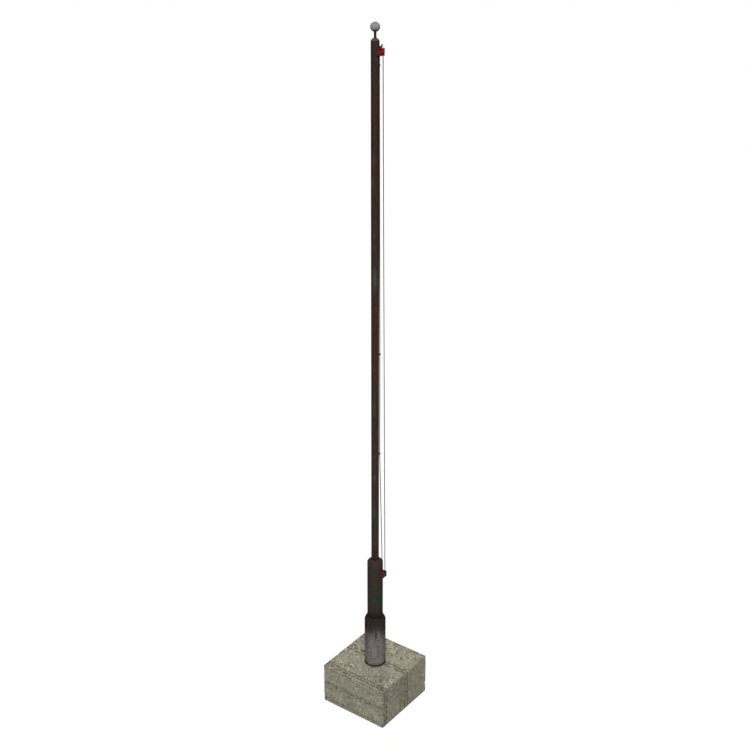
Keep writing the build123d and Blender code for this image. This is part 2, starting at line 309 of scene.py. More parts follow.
    def away(self, point, tall=1.0):
        """Distance from a point, which grows slower by tall up and down than sideways."""
        offset = self.vectors("SUBTRACT", self.place, point).outputs["Vector"]
        scaled = self.vectors("MULTIPLY", offset, (1, 1, 1 / tall)).outputs["Vector"]
        return self.vectors("LENGTH", scaled).outputs["Value"]

    def near(self, point, radius, soft):
        """1 within a radius of a point, then falling to 0 over soft."""
        return self.step(self.away(point), radius, radius + soft, 1.0, 0.0)

    def stain(self, tube_radius, around, height, half_width, half_height, ragged):
        """Ragged patch on a tube, at an angle round it from the camera's side, towards +X."""
        angle = CAMERA_AZIMUTH + radians(around)
        centre = (tube_radius * sin(angle), -tube_radius * cos(angle), height)
        away = self.away(centre, half_height / half_width)
        away = self.wander(away, ragged, half_width * STAIN_WANDER)
        return self.step(away, half_width * STAIN_CORE, half_width * STAIN_END, 1.0, 0.0)

    def wander(self, value, noise, reach):
        """A value that the noise moves by up to about a fifth of the reach either way."""
        return self.math("ADD", value, self.math("MULTIPLY", self.math("SUBTRACT", noise, 0.5), reach))

    def mix(self, amount, under, over):
        """Colour over another colour, by an amount from 0 to 1."""
        node = self.node("Mix")
        node.data_type = "RGBA"
        self.put(node.inputs["Factor"], amount)
        self.put(node.inputs["A"], under)
        self.put(node.inputs["B"], over)
        return node.outputs["Result"]

    def shade(self, colour, factor):
        """The colour, made darker or lighter by a factor that varies over the surface."""
        node = self.vectors("SCALE", colour)
        self.put(node.inputs["Scale"], factor)
        return node.outputs["Vector"]

    def bump(self, height, depth, strength=1.0):
        """Relief of that depth in metres, on top of the relief so far."""
        node = self.node("Bump")
        node.inputs["Distance"].default_value = depth
        node.inputs["Strength"].default_value = strength
        self.put(node.inputs["Height"], height)
        if self.normal is not None:
            self.put(node.inputs["Normal"], self.normal)
        self.normal = node.outputs[0]
        self.put(self.shader.inputs["Normal"], self.normal)

    def finish(self, colour, roughness=None):
        """The material, given its colour, and a roughness that varies if there is one."""
        self.put(self.shader.inputs["Base Color"], colour)
        if roughness is not None:
            self.put(self.shader.inputs["Roughness"], roughness)
        return self.material


def srgb(red, green, blue):
    """A colour as a screen shows it, 0 to 255, as the linear colour that a shader takes."""

    def linear(value):
        value /= 255
        return value / 12.92 if value <= 0.04045 else ((value + 0.055) / 1.055) ** 2.4

    return (linear(red), linear(green), linear(blue), 1)


# Joints between the boards that shaped the block: pairs at these places along Y on its top and
# sides, and one pair at these heights on its -Y face
JOINTS_Y = (-0.412, -0.366, 0.004, 0.058)
JOINTS_Z = (0.284, 0.262)
# Dark lines and stained bands on the top and sides: place along Y, width and softness
LINES_Y = [(joint, 0.003, 0.01) for joint in JOINTS_Y]
BANDS_Y = ((-0.389, 0.046, 0.02), (0.031, 0.054, 0.02))
# The same on the -Y face: height, width, softness and strength
LINES_Z = (
    (JOINTS_Z[0], 0.004, 0.016, 0.4),
    (JOINTS_Z[1], 0.003, 0.014, 0.5),
    (0.044, 0.005, 0.016, 0.6),
    (0.509, 0.003, 0.01, 0.35),
)
BANDS_Z = ((0.27, 0.045, 0.045, 0.75), (0.204, 0.01, 0.03, 0.4), (0.042, 0.024, 0.02, 0.75))
# Large stains on the block: place, radius and colour
BLOCK_STAINS = (
    ((0.43, 0.33, BLOCK_HIGH.z), 0.05, (142, 129, 112)),
    ((0.33, 0.02, BLOCK_HIGH.z), 0.04, (128, 118, 103)),
    ((-0.06, BLOCK_LOW.y, 0.16), 0.08, (128, 138, 122)),
    ((0.12, 0.44, BLOCK_HIGH.z), 0.012, (176, 104, 88)),
    ((0.31, 0.44, BLOCK_HIGH.z), 0.02, (112, 72, 62)),
    ((0.28, 0.33, BLOCK_HIGH.z), 0.015, (112, 142, 128)),
)
STAIN_STRENGTH = 0.6
# Places where lime lies thick: place, radius and softness
LIME_CLUSTERS = (
    ((-0.35, -0.22, BLOCK_HIGH.z), 0.04, 0.09),
    ((0.36, 0.19, BLOCK_HIGH.z), 0.03, 0.08),
    ((0.13, -0.2, BLOCK_HIGH.z), 0.04, 0.08),
    ((0.32, BLOCK_LOW.y, 0.13), 0.03, 0.08),
    ((-0.42, 0.05, BLOCK_HIGH.z), 0.02, 0.05),
)
# Dirt on the block, along Y: the middle of the streak down its +X face, and where its top starts to
# darken towards the back arris and is dark
STREAK_Y = -0.08
BACK_ARRIS = (0.405, 0.43)
GRIME_HEIGHT = 0.026  # up from the ground


def concrete():
    """Weathered olive-grey concrete: trowelled smooth in places and gritty between, with lime,
    dark pits, stains, and rough dark bands along the joints."""
    s = Surface("concrete", roughness=0.95, specular=0.08)
    y, z = s.axis("Y"), s.axis("Z")
    front = s.step(s.facing("Y"), -0.8, -0.5, 1.0, 0.0)
    elsewhere = s.math("SUBTRACT", 1.0, front)
    top = s.step(s.facing("Z"), 0.5, 0.8)
    ragged = s.noise(18, 3)
    mottle = s.noise(22, 4, 0.65, shift=(4, 4, 1))
    gravel = s.noise(75, 5, 0.75, stretch=(0.8, 1, 1))

    # The joints: broken dark lines, and rough stained bands between the two of each pair
    along_y = s.wander(y, ragged, 0.024)
    along_z = s.wander(z, ragged, 0.024)

    def stripes(across_y, across_z):
        """Stripes across Z on the -Y face, and stripes across Y on the others."""
        others = s.either(*[s.band(along_y, *stripe) for stripe in across_y])
        on_front = [s.both(front, s.band(along_z, *stripe), strength) for *stripe, strength in across_z]
        return s.either(s.both(elsewhere, others), *on_front)

    lines = stripes(LINES_Y, LINES_Z)
    lines = s.both(lines, s.step(s.noise(34, 3, shift=(6, 6, 2)), 0.42, 0.5))
    bands = stripes(BANDS_Y, BANDS_Z)
    gritty = s.step(s.noise(7, 4, 0.6, shift=(2, 6, 6)), 0.43, 0.54, 0.34, 1.0)
    gritty = s.either(gritty, bands)

    colour = s.mix(s.step(s.noise(2.6, 3, 0.5), 0.38, 0.62), srgb(149, 145, 127), srgb(153, 150, 132))
    clouds = s.noise(8, 4, 0.6, warp=0.3)
    colour = s.mix(s.step(clouds, 0.5, 0.66, 0.0, 0.6), colour, srgb(140, 145, 119))
    brown = s.step(s.noise(24, 4, 0.6, shift=(3, 1, 7)), 0.53, 0.66, 0.0, 0.5)
    colour = s.mix(brown, colour, srgb(148, 135, 120))
    for centre, radius, stain in BLOCK_STAINS:
        patch = s.both(s.near(centre, radius * 0.6, radius), STAIN_STRENGTH)
        colour = s.mix(patch, colour, srgb(*stain))
    colour = s.shade(colour, s.step(mottle, 0.3, 0.7, 0.93, 1.07))
    speckled = s.shade(colour, s.step(gravel, 0.3, 0.7, 0.5, 1.46))
    speckled = s.shade(speckled, s.step(s.grit(72), 0.0, 1.0, 0.56, 1.44))
    on_top = s.shade(speckled, s.step(s.grit(46, stretch=(1, 0.8, 1)), 0.0, 1.0, 0.72, 1.3))
    speckled = s.mix(top, speckled, on_top)
    colour = s.mix(gritty, colour, speckled)

    # Dirt in a broad streak down the +X face, and along the arris at the back
    side = s.step(s.facing("X"), 0.8, 0.95)
    streak = s.both(side, s.band(along_y, STREAK_Y, 0.03, 0.05), 0.24)
    arris = s.both(top, s.step(along_y, *BACK_ARRIS), 0.3)
    colour = s.mix(s.either(streak, arris), colour, srgb(84, 78, 66))

    # Pale stones and lime, thick in a few places
    clusters = s.either(*[s.near(*cluster) for cluster in LIME_CLUSTERS])
    stones = s.step(s.cells(52, shift=(2, 5, 1), reach=0.03), 0.2, 0.46, 1.0, 0.0)
    sparse = s.step(s.noise(11, 2, shift=(9, 2, 4)), 0.46, 0.6, 0.0, 0.7)
    lime = s.both(stones, s.either(s.both(sparse, gritty), clusters, s.both(bands, 0.5)), 0.85)
    colour = s.mix(lime, colour, srgb(206, 203, 192))

    # Dark pits, and dashes along the bands
    pits = s.step(s.cells(30, shift=(7, 3, 9), reach=0.03), 0.1, 0.3, 1.0, 0.0)
    pits = s.both(pits, s.step(s.noise(9, 2, shift=(1, 8, 3)), 0.42, 0.54))
    colour = s.mix(s.both(pits, gritty, 0.85), colour, srgb(60, 56, 46))
    long_cells = s.cells(52, stretch=(0.45, 1, 0.45), shift=(5, 2, 8), reach=0.02)
    dashes = s.both(s.step(long_cells, 0.22, 0.36, 1.0, 0.0), bands, s.step(ragged, 0.4, 0.5))
    colour = s.mix(s.both(bands, 0.18), colour, srgb(94, 86, 73))
    colour = s.mix(s.both(dashes, 0.62), colour, srgb(46, 42, 35))
    colour = s.mix(s.both(lines, 0.77), colour, srgb(52, 47, 38))

    # Grime up from the ground, and specks of brick red and blue green
    damp = s.wander(z, s.noise(14, 3, shift=(5, 9, 1)), 0.05)
    colour = s.mix(s.step(damp, 0.002, GRIME_HEIGHT, 0.5, 0.0), colour, srgb(84, 76, 64))
    specks = s.cells(21, shift=(3, 8, 5), reach=0.03)
    red_areas = s.step(s.noise(6, 1, shift=(2, 2, 9)), 0.54, 0.6)
    red = s.both(s.step(specks, 0.1, 0.2, 0.7, 0.0), red_areas)
    colour = s.mix(red, colour, srgb(158, 112, 96))
    teal_areas = s.step(s.noise(6, 1, shift=(8, 5, 3)), 0.56, 0.62)
    teal = s.both(s.step(specks, 0.12, 0.26, 0.6, 0.0), teal_areas)
    colour = s.mix(teal, colour, srgb(116, 148, 134))
    s.bump(gravel, 0.003, 0.6)
    s.bump(mottle, 0.006, 0.5)
    s.bump(pits, -0.006, 0.8)
    s.bump(dashes, -0.005, 0.8)
    return s.finish(colour, s.step(mottle, 0.3, 0.7, 0.88, 1.0))


# Heights on the sleeve where its black starts and is full: the ragged soot, the thin runs below
# it, and the crust on the shoulder
SOOT_Z = (0.86, 1.09)
RUNS_Z = (0.76, 0.94)
CRUST_Z = (1.09, 1.19)
RIM_SHADE = (0.013, 0.006)  # below the sleeve's mouth, where the painted shade on its rim starts and is full
# One long drip on the sleeve: degrees round it from the camera's side, height, half width, half height
LONG_DRIP = (5, 1.02, 0.015, 0.12)
DAMP_REACH = 0.062  # up the sleeve from the block
FOOT_SHADE = (0.004, 0.026)  # up the sleeve from the block, where the painted shade at its foot fades and ends


def galvanised_steel():
    """Dull zinc, blackened at its shoulder, with the black run down it in drips, and scuffed; painted
    shade at its mouth and foot.
    """
    s = Surface("galvanised_steel", roughness=0.7, specular=0.012)
    height = s.axis("Z")
    drips = s.noise(1, 4, 0.6, stretch=(38, 38, 1.6))
    thin = s.noise(1, 3, 0.6, stretch=(110, 110, 4), shift=(4, 2, 0))
    spangle = s.noise(60, 4, 0.7, warp=1.2)
    scuffs = s.noise(1, 4, 0.6, stretch=(26, 26, 80), shift=(2, 7, 5))
    streaks = s.noise(1, 4, 0.6, stretch=(70, 70, 3))
    zinc = s.mix(s.step(spangle, 0.34, 0.66), srgb(99, 94, 92), srgb(142, 137, 134))
    zinc = s.mix(s.step(scuffs, 0.5, 0.66, 0.0, 0.8), zinc, srgb(80, 75, 74))
    zinc = s.mix(s.step(streaks, 0.5, 0.7, 0.0, 0.7), zinc, srgb(74, 69, 69))
    soot = s.step(s.wander(s.wander(height, drips, 0.3), thin, 0.08), *SOOT_Z)
    runs = s.both(s.step(height, *RUNS_Z), s.step(thin, 0.46, 0.64, 0.0, 0.5))
    soot = s.either(soot, runs)
    long_drip = s.stain(SLEEVE_RADIUS, *LONG_DRIP, thin)
    soot = s.either(soot, s.both(long_drip, 0.85))
    colour = s.mix(soot, zinc, srgb(52, 46, 43))
    patches = s.noise(17, 4, 0.65, shift=(1, 4, 2))
    crust = s.mix(s.step(patches, 0.42, 0.58), srgb(50, 35, 32), srgb(40, 36, 32))
    crust = s.shade(crust, s.step(spangle, 0.34, 0.66, 0.8, 1.22))
    colour = s.mix(s.step(height, *CRUST_Z, 0.0, 0.9), colour, crust)
    # Painted shade: near black just under the mouth, for the shade in the gap round the middle tube
    rim = [SLEEVE_MOUTH - below for below in RIM_SHADE]
    colour = s.mix(s.step(height, *rim, 0.0, 0.95), colour, srgb(13, 11, 10))
    above_block = s.math("SUBTRACT", height, BLOCK_HIGH.z)
    damp = s.step(s.wander(above_block, drips, 0.12), 0.0, DAMP_REACH, 0.62, 0.0)
    colour = s.mix(damp, colour, srgb(36, 34, 31))
    # Painted shade: a dark band round the foot, where the sleeve meets the block
    foot = s.step(s.wander(above_block, thin, 0.02), *FOOT_SHADE, 0.9, 0.0)
    colour = s.mix(foot, colour, srgb(24, 22, 19))
    s.bump(spangle, 0.0008, 0.5)
    s.bump(scuffs, 0.0006, 0.3)
    s.bump(drips, 0.001, 0.3)
    return s.finish(colour, s.step(spangle, 0.3, 0.7, 0.6, 0.82))


# Stains on the tubes' paint: tube, degrees round it from the camera's side, height, half width,
# half height, colour and strength
STAINS = (
    (POLE_RADIUS, -30, 7.85, 0.030, 0.16, (48, 50, 42), 0.8),
    (POLE_RADIUS, -35, 7.50, 0.016, 0.06, (72, 40, 36), 0.7),
    (POLE_RADIUS, -20, 6.78, 0.018, 0.09, (78, 62, 52), 0.8),
    (POLE_RADIUS, -35, 6.55, 0.014, 0.10, (82, 72, 60), 0.6),
    (POLE_RADIUS, -10, 6.00, 0.020, 0.10, (70, 52, 50), 0.8),
    (POLE_RADIUS, -5, 5.49, 0.030, 0.15, (72, 72, 68), 0.9),
    (POLE_RADIUS, 28, 5.24, 0.016, 0.09, (80, 40, 30), 0.8),
    (POLE_RADIUS, 25, 4.40, 0.014, 0.08, (78, 44, 32), 0.7),
    (POLE_RADIUS, -15, 3.97, 0.022, 0.12, (58, 64, 60), 0.8),
    (POLE_RADIUS, 10, 3.45, 0.018, 0.12, (60, 50, 32), 0.8),
    (POLE_RADIUS, -5, 3.10, 0.010, 0.03, (92, 80, 72), 0.8),
    (POLE_RADIUS, -25, 2.63, 0.018, 0.10, (66, 68, 62), 0.9),
    (POLE_RADIUS, 15, 2.38, 0.014, 0.07, (66, 58, 34), 0.8),
    (POLE_RADIUS, 0, 2.06, 0.040, 0.10, (58, 36, 31), 0.9),
    (MIDDLE_RADIUS, 5, 1.93, 0.060, 0.05, (68, 50, 46), 0.7),
    (MIDDLE_RADIUS, 25, 1.49, 0.050, 0.13, (28, 58, 46), 0.85),
    (MIDDLE_RADIUS, 0, 1.70, 0.034, 0.09, (70, 48, 36), 0.6),
    (MIDDLE_RADIUS, 48, 1.62, 0.026, 0.09, (62, 40, 38), 0.7),
    (MIDDLE_RADIUS, 20, 1.29, 0.050, 0.05, (60, 40, 38), 0.7),
)
# Heights on the tubes' paint: the middle and width of its greyer and its rusty stretch, where it
# turns greyer below the rusty one, and where it turns greener near the foot
GREY_Z = (5.75, 0.65)
RUSTY_Z = (4.72, 0.7)
LOW_GREY_Z = (4.1, 4.35)
LOW_GREEN_Z = (1.85, 2.0)
# Painted shade above the mouths of the middle tube and of the sleeve: height of the mouth, and its
# reach
MOUTH_SHADE = ((MIDDLE_MOUTH, 0.05), (SLEEVE_MOUTH, 0.13))


def painted_steel():
    """Old dark brown paint, blotched and stained, rustier half way up and greener near the foot, with
    painted shade just above each mouth.
    """
    s = Surface("painted_steel", roughness=0.75, specular=0.03)
    height = s.axis("Z")
    blotches = s.noise(1, 4, 0.62, stretch=(26, 26, 5), shift=(5, 1, 2))
    mottle = s.noise(1, 4, 0.65, stretch=(75, 75, 32), shift=(2, 2, 1))
    long_patches = s.noise(1, 3, 0.5, stretch=(7, 7, 1.1))
    streaks = s.noise(1, 4, 0.65, stretch=(120, 120, 5), shift=(1, 6, 3))
    grain = s.noise(160, 3, 0.6)
    zone = s.wander(height, blotches, 0.6)
    greyer = s.either(s.band(zone, *GREY_Z, 0.2), s.step(zone, *LOW_GREY_Z, 1.0, 0.0))
    colour = s.mix(s.step(long_patches, 0.4, 0.6), srgb(59, 45, 35), srgb(62, 47, 38))
    colour = s.mix(s.both(greyer, s.step(blotches, 0.38, 0.6)), colour, srgb(58, 53, 47))
    colour = s.mix(s.both(s.band(zone, *RUSTY_Z, 0.12), 0.9), colour, srgb(70, 45, 33))
    maroon = s.noise(1, 4, 0.6, stretch=(18, 18, 3.2), shift=(8, 3, 6))
    colour = s.mix(s.step(maroon, 0.55, 0.66, 0.0, 0.6), colour, srgb(66, 42, 38))
    green = s.noise(1, 3, 0.5, stretch=(12, 12, 4), shift=(2, 9, 11))
    colour = s.mix(s.step(green, 0.58, 0.68, 0.0, 0.7), colour, srgb(44, 50, 42))
    colour = s.mix(s.step(height, *LOW_GREEN_Z, 0.75, 0.0), colour, srgb(54, 49, 42))
    for tube_radius, around, up, half_width, half_height, stain, strength in STAINS:
        patch = s.stain(tube_radius, around, up, half_width, half_height, mottle)
        colour = s.mix(s.both(patch, strength), colour, srgb(*stain))
    colour = s.shade(colour, s.step(mottle, 0.3, 0.7, 0.72, 1.28))
    colour = s.mix(s.step(streaks, 0.56, 0.74, 0.0, 0.4), colour, srgb(36, 30, 26))
    pale = s.both(s.step(grain, 0.6, 0.74, 0.0, 0.5), s.step(blotches, 0.45, 0.62))
    colour = s.mix(pale, colour, srgb(96, 84, 76))
    # Painted shade: the paint darkened just above each mouth, for the shade in the joint there
    for mouth, reach in MOUTH_SHADE:
        soot = s.step(height, mouth, mouth + reach, 0.7, 0.0)
        soot = s.both(soot, s.step(height, mouth - 0.003, mouth))
        colour = s.mix(soot, colour, srgb(30, 24, 22))
    s.bump(grain, 0.0006, 0.4)
    s.bump(blotches, 0.001, 0.35)
    s.bump(streaks, 0.0004, 0.3)
    return s.finish(colour, s.step(blotches, 0.35, 0.65, 0.66, 0.84))


def faded_paint():
    """The cap's paint: dark on its rim, weathered pale on its cone, and black round the spindle."""
    s = Surface("faded_paint", roughness=0.75, specular=0.08)
    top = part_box("top_cap")[1].z
    height = s.axis("Z")
    patches = s.noise(38, 4, 0.6)
    grain = s.noise(260, 3, 0.6)
    pale = s.mix(s.step(patches, 0.35, 0.65), srgb(84, 69, 64), srgb(106, 91, 86))
    worn = s.step(s.wander(height, patches, 0.01), top - 0.027, top - 0.02)
    colour = s.mix(worn, srgb(56, 44, 39), pale)
    soot = s.step(s.wander(height, patches, 0.008), top - 0.014, top - 0.005)
    colour = s.mix(s.both(soot, 0.8), colour, srgb(36, 31, 29))
    colour = s.mix(s.step(grain, 0.55, 0.75, 0.0, 0.5), colour, srgb(52, 42, 37))
    s.bump(grain, 0.0004, 0.4)
    return s.finish(colour, s.step(patches, 0.35, 0.65, 0.6, 0.82))


def red_paint(name, block, fresh, worn, bareness):
    """Red paint, duller in patches, darker next to the tube, and rubbed to brown steel along a
    pulley block's edges."""
    s = Surface(name, roughness=0.6, specular=0.12)
    low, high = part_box(block + "_cheek_left")
    x, z = s.axis("X"), s.axis("Z")
    patches = s.noise(42, 4, 0.6, shift=(1, 1, 3))
    grain = s.noise(420, 3, 0.6)
    wear = s.noise(130, 4, 0.65, shift=(4, 2, 2))
    colour = s.mix(s.step(patches, 0.42, 0.62), fresh, worn)
    from_edge = s.math("SUBTRACT", high.x, x)
    for inside in (s.math("SUBTRACT", high.z, z), s.math("SUBTRACT", z, low.z)):
        from_edge = s.math("MINIMUM", from_edge, inside)
    rubbed = s.step(s.wander(from_edge, wear, 0.016), 0.0, 0.004, 1.0, 0.0)
    bare = s.both(s.either(rubbed, s.step(wear, 0.58, 0.64)), bareness)
    colour = s.mix(bare, colour, srgb(76, 42, 30))
    # Darker towards the tube
    soot = s.step(s.wander(x, wear, 0.012), low.x - 0.005, low.x + 0.028, 0.6, 0.0)
    colour = s.mix(soot, colour, srgb(42, 28, 26))
    colour = s.mix(s.step(grain, 0.6, 0.75, 0.0, 0.5), colour, srgb(52, 16, 16))
    s.bump(grain, 0.0003, 0.4)
    s.bump(bare, -0.0004, 0.7)
    return s.finish(colour, s.step(patches, 0.35, 0.65, 0.5, 0.7))


def bare_steel(name, dark, light):
    """Bare steel gone brown, with rust in its hollows."""
    s = Surface(name, roughness=0.7, specular=0.12)
    patches = s.noise(60, 5, 0.62)
    grain = s.noise(380, 3, 0.6)
    colour = s.mix(s.step(patches, 0.38, 0.62), dark, light)
    colour = s.mix(s.step(grain, 0.58, 0.72, 0.0, 0.7), colour, srgb(33, 26, 22))
    s.bump(grain, 0.0004, 0.5)
    return s.finish(colour, s.step(patches, 0.35, 0.65, 0.55, 0.8))


def ball_metal():
    """Weathered spun aluminium: matte grey with faint spinning marks, and painted shade on its
    underside.
    """
    s = Surface("ball_metal", roughness=0.65, specular=0.1)
    low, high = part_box("finial_ball")
    height = s.axis("Z")
    clouds = s.noise(26, 4, 0.6)
    rings = s.noise(1, 2, 0.5, stretch=(8, 8, 420))
    specks = s.noise(140, 4, 0.65, shift=(3, 3, 3))
    colour = s.mix(s.step(clouds, 0.35, 0.65), srgb(134, 132, 132), srgb(152, 151, 151))
    colour = s.mix(s.step(rings, 0.55, 0.75, 0.0, 0.3), colour, srgb(112, 110, 110))
    colour = s.mix(s.step(specks, 0.56, 0.7, 0.0, 0.5), colour, srgb(100, 96, 94))
    # Painted shade: the ball's lower part darkened, for the shade on its underside
    stain = s.step(s.wander(height, clouds, 0.03), low.z + 0.004, low.z + 0.05, 0.85, 0.0)
    colour = s.mix(stain, colour, srgb(58, 55, 54))
    seam = s.band(height, (low.z + high.z) / 2, 0.0006, 0.0008)
    colour = s.mix(s.both(seam, 0.7), colour, srgb(70, 67, 65))
    s.bump(rings, 0.0002, 0.3)
    s.bump(clouds, 0.0006, 0.25)
    s.bump(seam, -0.0006, 0.8)
    return s.finish(colour, s.step(clouds, 0.35, 0.65, 0.55, 0.72))


def cast_iron(name, dark, light):
    """Rough cast iron, worn lighter in places."""
    s = Surface(name, roughness=0.7, specular=0.12)
    patches = s.noise(85, 5, 0.6)
    grain = s.noise(500, 3, 0.6)
    colour = s.mix(s.step(patches, 0.38, 0.62), dark, light)
    colour = s.mix(s.step(grain, 0.58, 0.72, 0.0, 0.6), colour, dark)
    s.bump(grain, 0.0005, 0.5)
    return s.finish(colour, s.step(patches, 0.35, 0.65, 0.58, 0.8))


def rope_fibre():
    """Dark grey laid rope, dirty in stretches."""
    s = Surface("rope_fibre", roughness=0.9, specular=0.03)
    fibres = s.noise(900, 2, 0.5)
    dirt = s.noise(5, 4, 0.6)
    colour = s.mix(s.step(fibres, 0.35, 0.65), srgb(28, 28, 28), srgb(44, 44, 43))
    colour = s.mix(s.step(dirt, 0.45, 0.65, 0.0, 0.5), colour, srgb(42, 37, 32))
    s.bump(fibres, 0.0004, 0.6)
    return s.finish(colour)


def sealant():
    """Dark jointing mastic, dusty and cracked."""
    s = Surface("sealant", roughness=0.9, specular=0.06)
    dust = s.noise(70, 4, 0.6)
    cracks = s.step(s.cells(90, feature="DISTANCE_TO_EDGE"), 0.0, 0.08, 1.0, 0.0)
    colour = s.mix(s.step(dust, 0.4, 0.7), srgb(14, 12, 11), srgb(30, 26, 23))
    colour = s.mix(s.both(cracks, 0.6), colour, srgb(8, 7, 7))
    s.bump(dust, 0.0015, 0.5)
    s.bump(cracks, -0.001, 0.6)
    return s.finish(colour)


def paint(material, *nodes):
    """Gives CAD nodes a material in place of their plain one."""
    for node in nodes:
        slots = NODES[node].data.materials
        slots.clear()
        slots.append(material)


# ---------------------------------------------------------------- pieces


def piece(name, mesh, material, body="root", smooth=True):
    """A shown piece made from a mesh, riding on a body."""
    mesh.name = name
    mesh.materials.append(material)
    if smooth:
        mesh.shade_smooth()
    shape = bpy.data.objects.new(name, mesh)
    bpy.context.scene.collection.objects.link(shape)
    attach(shape, body)
    return shape


def skin(rings, closed):
    """Mesh over rings of as many points each. A closed one joins its last ring to its first, and
    an open one has a flat end at each."""
    sides = len(rings[0])
    points = [point for ring in rings for point in ring]
    faces = []
    for ring in range(len(rings) if closed else len(rings) - 1):
        here = ring * sides
        there = (ring + 1) % len(rings) * sides
        for side in range(sides):
            after = (side + 1) % sides
            faces.append((here + side, here + after, there + after, there + side))
    if not closed:
        faces.append(tuple(reversed(range(sides))))
        faces.append(tuple(range(len(points) - sides, len(points))))
    mesh = bpy.data.meshes.new("skin")
    mesh.from_pydata(points, [], faces)
    outside_out = bmesh.new()
    outside_out.from_mesh(mesh)
    bmesh.ops.recalc_face_normals(outside_out, faces=outside_out.faces)
    outside_out.to_mesh(mesh)
    outside_out.free()
    return mesh


def turns(count):
    """Angles that share out one whole turn."""
    return [2 * pi * index / count for index in range(count)]


# ---------------------------------------------------------------- halyard

ROPE_DIAMETER = 0.009
ROPE_LAY = 0.042  # length in which a strand goes once round
ROPE_SIDES = 12
STRANDS = 3
STRAND_GROOVE = 0.11  # depth of the grooves between strands, as a share of the rope's radius
STRAND_CREST = 1.04  # radius at the strands' crests, as a share of the rope's radius
STRAND_POWER = 0.6  # under 1, for round strands with narrow grooves
LINE_STEPS = 32  # points on the line for each of the route's points
# The route of the rope, as in the CAD source, with points beside each sheave and guide. The corners
# at the sheaves are up to 1.5 mm further out, so that the line doesn't cut into their grooves.
HALYARD_ROUTE = [
    (0.10444, 1.9235),
    (0.10625, 1.8555),
    (0.10620, 1.8015),
    (0.14583, 1.8015),
    (0.14392, 1.8555),
    (0.09726, 7.8420),
    (0.09764, 7.8960),
    (0.05444, 7.8960),
    (0.05463, 7.8420),
    (0.05350, 7.7420),
    (0.05370, 7.6880),
    (0.06480, 4.6820),
    (0.06500, 4.6280),
    (0.06500, 4.5740),
    (0.06500, 3.4590),
    (0.06500, 3.4050),
    (0.06644, 3.3510),
    (0.10436, 1.9265),
]


def smooth_line(route):
    """The points of a smooth NURBS line whose control points are the route's, in the plane Y = 0."""
    curve = bpy.data.curves.new("line", "CURVE")
    curve.dimensions = "3D"
    curve.resolution_u = LINE_STEPS
    spline = curve.splines.new("NURBS")
    spline.points.add(len(route) - 1)
    for point, (x, z) in zip(spline.points, route):
        point.co = (x, 0, z, 1)
    spline.order_u = 3
    spline.use_endpoint_u = True
    mesh = bpy.data.meshes.new_from_object(bpy.data.objects.new("line", curve))
    points = [vertex.co.copy() for vertex in mesh.vertices]
    bpy.data.meshes.remove(mesh)
    bpy.data.curves.remove(curve)
    return points


def evenly(points, spacing):
    """Points along the same line at an even spacing."""
    lengths = [(b - a).length for a, b in zip(points, points[1:])]
    total = sum(lengths)
    count = round(total / spacing)
    even, span, passed = [], 0, 0.0
    for index in range(count + 1):
        distance = total * index / count
        while span < len(lengths) - 1 and distance > passed + lengths[span]:
            passed += lengths[span]
            span += 1
        even.append(points[span].lerp(points[span + 1], (distance - passed) / lengths[span]))
    return even


def halyard():
    """The endless rope: three strands laid round one line, from the ferrule round both sheaves."""
    line = evenly(smooth_line(HALYARD_ROUTE), ROPE_LAY / ROPE_SIDES)
    across = Vector((0, 1, 0))
    rings = []
    for index, centre in enumerate(line):
        along = line[min(index + 1, len(line) - 1)] - line[max(index - 1, 0)]
        other = along.cross(across).normalized()
        ring = []
        for side in turns(ROPE_SIDES):
            hollow = 1 - abs(cos(STRANDS * side / 2)) ** STRAND_POWER
            swell = STRAND_CREST - STRAND_GROOVE * hollow
            turn = side + 2 * pi * index / ROPE_SIDES
            outward = across * cos(turn) + other * sin(turn)
            ring.append(centre + outward * (ROPE_DIAMETER / 2 * swell))
        rings.append(ring)
    rope = piece("halyard_rope", skin(rings, closed=False), rope_fibre())
    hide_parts("halyard")


# ---------------------------------------------------------------- concrete block

BLOCK_CUTS = 100
EDGE_CROWDING = 0.62  # how much the mesh rows crowd towards the arrises
SOCKET_RADIUS = SLEEVE_RADIUS + 0.0002
SOCKET_DEPTH = 0.4
# Depths of wear, and how far in from an arris or a joint it reaches
UNEVENNESS = 0.0012
GRAIN_DEPTH = 0.0007
ARRIS_WEAR, ARRIS_UNEVENNESS, ARRIS_REACH = 0.0022, 0.0012, 0.012
CHIP_DEPTH, CHIP_REACH = 0.011, 0.022
CHIP_RARITY = 0.3  # the noise has to be above this for a chip
PIT_DEPTH, PIT_RADIUS = 0.007, 0.3  # the radius in cells
JOINT_DEPTH, JOINT_REACH = 0.0016, 0.011


def crowded(share):
    """A share from 0 to 1 moved so that even steps become short ones near 0 and 1."""
    swing = share * 2 - 1
    swing = swing * (1 - EDGE_CROWDING) + sin(swing * pi / 2) * EDGE_CROWDING
    return (swing + 1) / 2


def fading(distance, reach):
    """1 at no distance, down evenly to 0 at the reach."""
    return max(0.0, 1 - distance / reach)


